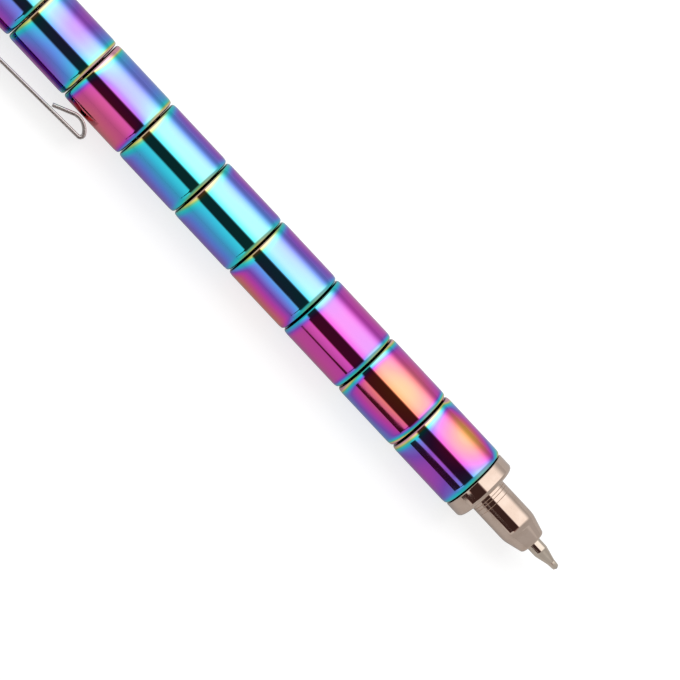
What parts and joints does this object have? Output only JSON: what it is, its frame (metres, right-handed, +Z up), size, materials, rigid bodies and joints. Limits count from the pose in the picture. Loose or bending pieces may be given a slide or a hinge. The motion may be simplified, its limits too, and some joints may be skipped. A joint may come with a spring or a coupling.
{
  "type": "magnetic ballpoint pen",
  "caption": "Ballpoint pen whose barrel is a stack of ring magnets on a slim refill, with a tapered metal nozzle, a spring clip and a rubber touch tip.",
  "frame": {"origin": "on the surface that the pen lies on, under the middle of its bounding box", "axes": "+X along the pen towards its writing tip, +Z up from the surface, the clip on the -Y side"},
  "size_m": [0.1488, 0.014, 0.0095],
  "materials": {
    "rainbow_coating": "mirror polish under a rainbow interference coating",
    "nickel_plate": "bright nickel plate",
    "spring_steel": "polished spring steel",
    "refill_metal": "fine-turned nickel silver",
    "ball_carbide": "polished",
    "refill_plastic": "clear",
    "ink": "gloss",
    "silicone": "matte",
    "touch_rubber": "satin"
  },
  "bodies": {
    "barrel_middle": {"ring_06": "rainbow_coating"},
    "ring_01": {"ring_01": "rainbow_coating"},
    "ring_02": {"ring_02": "rainbow_coating"},
    "ring_03": {"ring_03": "rainbow_coating"},
    "ring_04": {"ring_04": "rainbow_coating"},
    "ring_05": {"ring_05": "rainbow_coating"},
    "upper_stack": {"ring_07": "rainbow_coating"},
    "ring_08": {"ring_08": "rainbow_coating"},
    "ring_09": {"ring_09": "rainbow_coating"},
    "ring_10": {"ring_10": "rainbow_coating"},
    "ring_11": {"ring_11": "rainbow_coating"},
    "ring_12": {"ring_12": "rainbow_coating"},
    "clip": {"clip": "spring_steel"},
    "touch_tip": {"touch_tip_holder": "nickel_plate", "touch_tip_dome": "touch_rubber"},
    "cartridge": {"nozzle": "nickel_plate", "refill_point": "refill_metal", "refill_tube": "refill_plastic", "ink_column": "ink", "grip_ring_front": "silicone", "grip_ring_rear": "silicone"},
    "writing_ball": {"writing_ball": "ball_carbide"}
  },
  "joints": [
    {"name": "nozzle_pull", "type": "slide", "parent": "barrel_middle", "child": "cartridge", "axis": [1, 0, 0], "range_m": [0, 0.095]},
    {"name": "stack_split", "type": "slide", "parent": "barrel_middle", "child": "upper_stack", "axis": [-1, 0, 0], "range_m": [0, 0.035]},
    {"name": "touch_tip_pull", "type": "slide", "parent": "upper_stack", "child": "touch_tip", "axis": [-1, 0, 0], "range_m": [0, 0.012]},
    {"name": "ring_01_turn", "type": "hinge", "parent": "barrel_middle", "child": "ring_01", "pos_m": [0.05345, 0.00222, 0.00473], "axis": [1, 0, 0], "continuous": true},
    {"name": "ring_02_turn", "type": "hinge", "parent": "barrel_middle", "child": "ring_02", "pos_m": [0.04325, 0.00222, 0.00473], "axis": [1, 0, 0], "continuous": true},
    {"name": "ring_03_turn", "type": "hinge", "parent": "barrel_middle", "child": "ring_03", "pos_m": [0.03305, 0.00222, 0.00473], "axis": [1, 0, 0], "continuous": true},
    {"name": "ring_04_turn", "type": "hinge", "parent": "barrel_middle", "child": "ring_04", "pos_m": [0.02285, 0.00222, 0.00473], "axis": [1, 0, 0], "continuous": true},
    {"name": "ring_05_turn", "type": "hinge", "parent": "barrel_middle", "child": "ring_05", "pos_m": [0.01265, 0.00222, 0.00473], "axis": [1, 0, 0], "continuous": true},
    {"name": "ring_08_turn", "type": "hinge", "parent": "upper_stack", "child": "ring_08", "pos_m": [-0.01795, 0.00222, 0.00473], "axis": [1, 0, 0], "continuous": true},
    {"name": "ring_09_turn", "type": "hinge", "parent": "upper_stack", "child": "ring_09", "pos_m": [-0.02815, 0.00222, 0.00473], "axis": [1, 0, 0], "continuous": true},
    {"name": "ring_10_turn", "type": "hinge", "parent": "upper_stack", "child": "ring_10", "pos_m": [-0.03835, 0.00222, 0.00473], "axis": [1, 0, 0], "continuous": true},
    {"name": "ring_11_turn", "type": "hinge", "parent": "upper_stack", "child": "ring_11", "pos_m": [-0.04855, 0.00222, 0.00473], "axis": [1, 0, 0], "continuous": true},
    {"name": "ring_12_turn", "type": "hinge", "parent": "upper_stack", "child": "ring_12", "pos_m": [-0.0593, 0.00222, 0.00473], "axis": [1, 0, 0], "continuous": true},
    {"name": "clip_turn", "type": "hinge", "parent": "upper_stack", "child": "clip", "pos_m": [-0.05393, 0.00222, 0.00473], "axis": [1, 0, 0], "continuous": true},
    {"name": "ball_roll", "type": "hinge", "parent": "cartridge", "child": "writing_ball", "pos_m": [0.07403, 0.00222, 0.00473], "axis": [0, 1, 0], "continuous": true}
  ]
}
